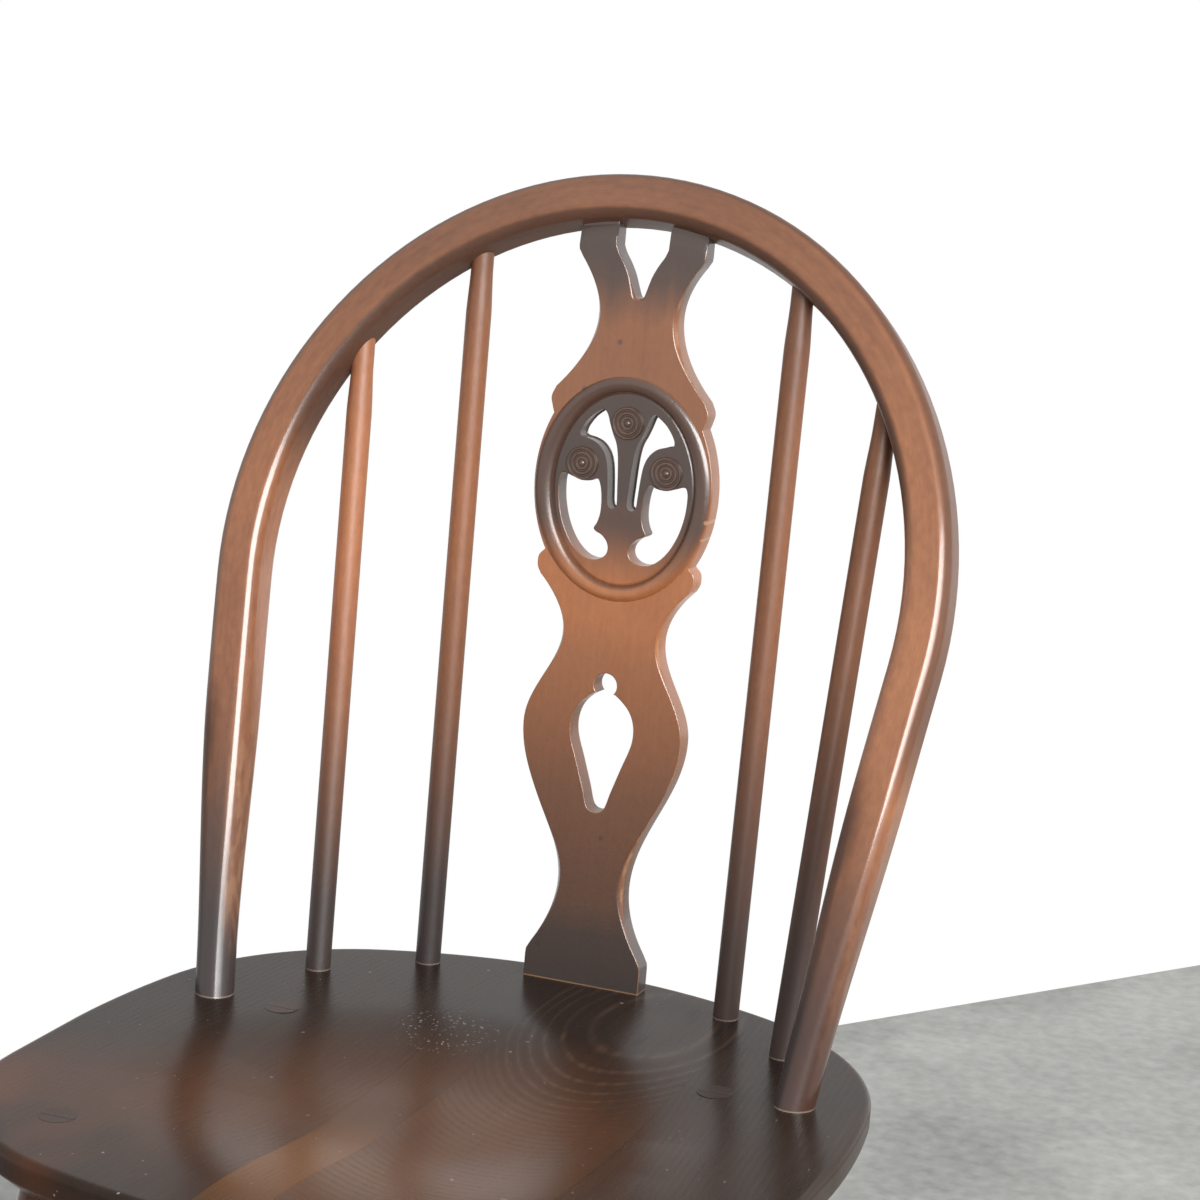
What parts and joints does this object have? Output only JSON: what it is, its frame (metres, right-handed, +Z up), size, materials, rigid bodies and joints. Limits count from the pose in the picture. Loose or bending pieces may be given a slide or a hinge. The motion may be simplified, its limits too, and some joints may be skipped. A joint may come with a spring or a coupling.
{
  "type": "bow-back dining chair",
  "caption": "Wooden dining chair with a bent bow back, a pierced splat with an oval flower motif, slim spindles, a dished seat and splayed legs with stretchers.",
  "frame": {"origin": "on the floor, at the middle of the chair's box", "axes": "+Z up, -Y the front of the chair, +X the right-hand side of a viewer who stands in front"},
  "size_m": [0.4284, 0.4496, 0.8856],
  "materials": {
    "seat_wood": "dark stained open-grained wood, satin lacquer",
    "bow_wood": "red-brown stained beech, satin lacquer",
    "splat_wood": "red-brown stained beech, satin lacquer, shaded dark at its ends",
    "spindle_wood": "red-brown stained beech, satin lacquer, shaded dark at the foot",
    "leg_wood": "dark red-brown stained beech, satin lacquer",
    "wedge_wood": "stained hardwood end grain"
  },
  "bodies": {
    "root": {"seat_board_left": "seat_wood", "seat_board_inner_left": "seat_wood", "seat_board_inner_right": "seat_wood", "seat_board_right": "seat_wood", "bow": "bow_wood", "splat": "splat_wood", "spindle_outer_left": "spindle_wood", "spindle_inner_left": "spindle_wood", "spindle_inner_right": "spindle_wood", "spindle_outer_right": "spindle_wood", "leg_front_left": "leg_wood", "leg_front_right": "leg_wood", "leg_rear_left": "leg_wood", "leg_rear_right": "leg_wood", "side_stretcher_left": "leg_wood", "side_stretcher_right": "leg_wood", "cross_stretcher": "leg_wood", "leg_wedge_front_left": "wedge_wood", "leg_wedge_front_right": "wedge_wood", "leg_wedge_rear_left": "wedge_wood", "leg_wedge_rear_right": "wedge_wood", "bow_wedge_left": "wedge_wood", "bow_wedge_right": "wedge_wood"}
  },
  "joints": []
}
